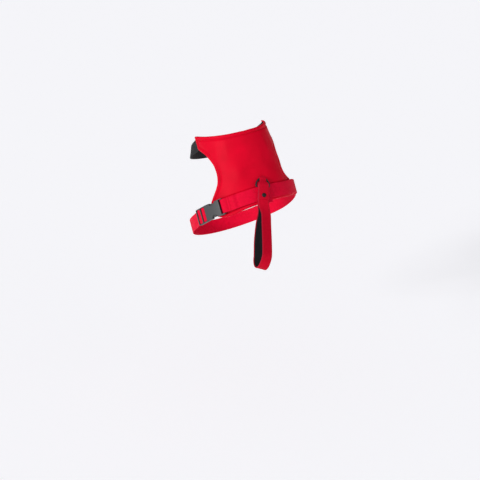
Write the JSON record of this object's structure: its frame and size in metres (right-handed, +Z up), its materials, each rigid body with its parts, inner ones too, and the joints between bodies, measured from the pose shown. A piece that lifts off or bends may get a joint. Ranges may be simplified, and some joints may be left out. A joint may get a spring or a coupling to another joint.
{
  "type": "dog harness with hand loop",
  "caption": "Fabric dog harness in its worn shape: back panel, girth strap with side-release buckle, neck strap, D ring and a short hanging hand loop.",
  "frame": {"origin": "the point of the wearer's back under the middle of the girth strap, on the spine line", "axes": "+Z up, +X to the wearer's right, +Y forward; the wearer sits, its spine climbing forward at 53 degrees and leaning 4 degrees to its left"},
  "size_m": [0.2001, 0.2928, 0.2417],
  "materials": {
    "red_softshell": "smooth satin softshell",
    "red_webbing": "woven webbing",
    "black_webbing": "woven webbing",
    "black_plastic": "satin moulded",
    "black_metal": "semi-gloss black"
  },
  "bodies": {
    "root": {"back_panel": "red_softshell", "girth_strap": "red_webbing", "d_ring_tab": "red_webbing", "leash_loop": "red_webbing", "leash_lining": "black_webbing", "neck_strap": "black_webbing", "buckle_female": "black_plastic", "buckle_male": "black_plastic", "leash_snap": "black_plastic", "d_ring": "black_metal"}
  },
  "joints": []
}
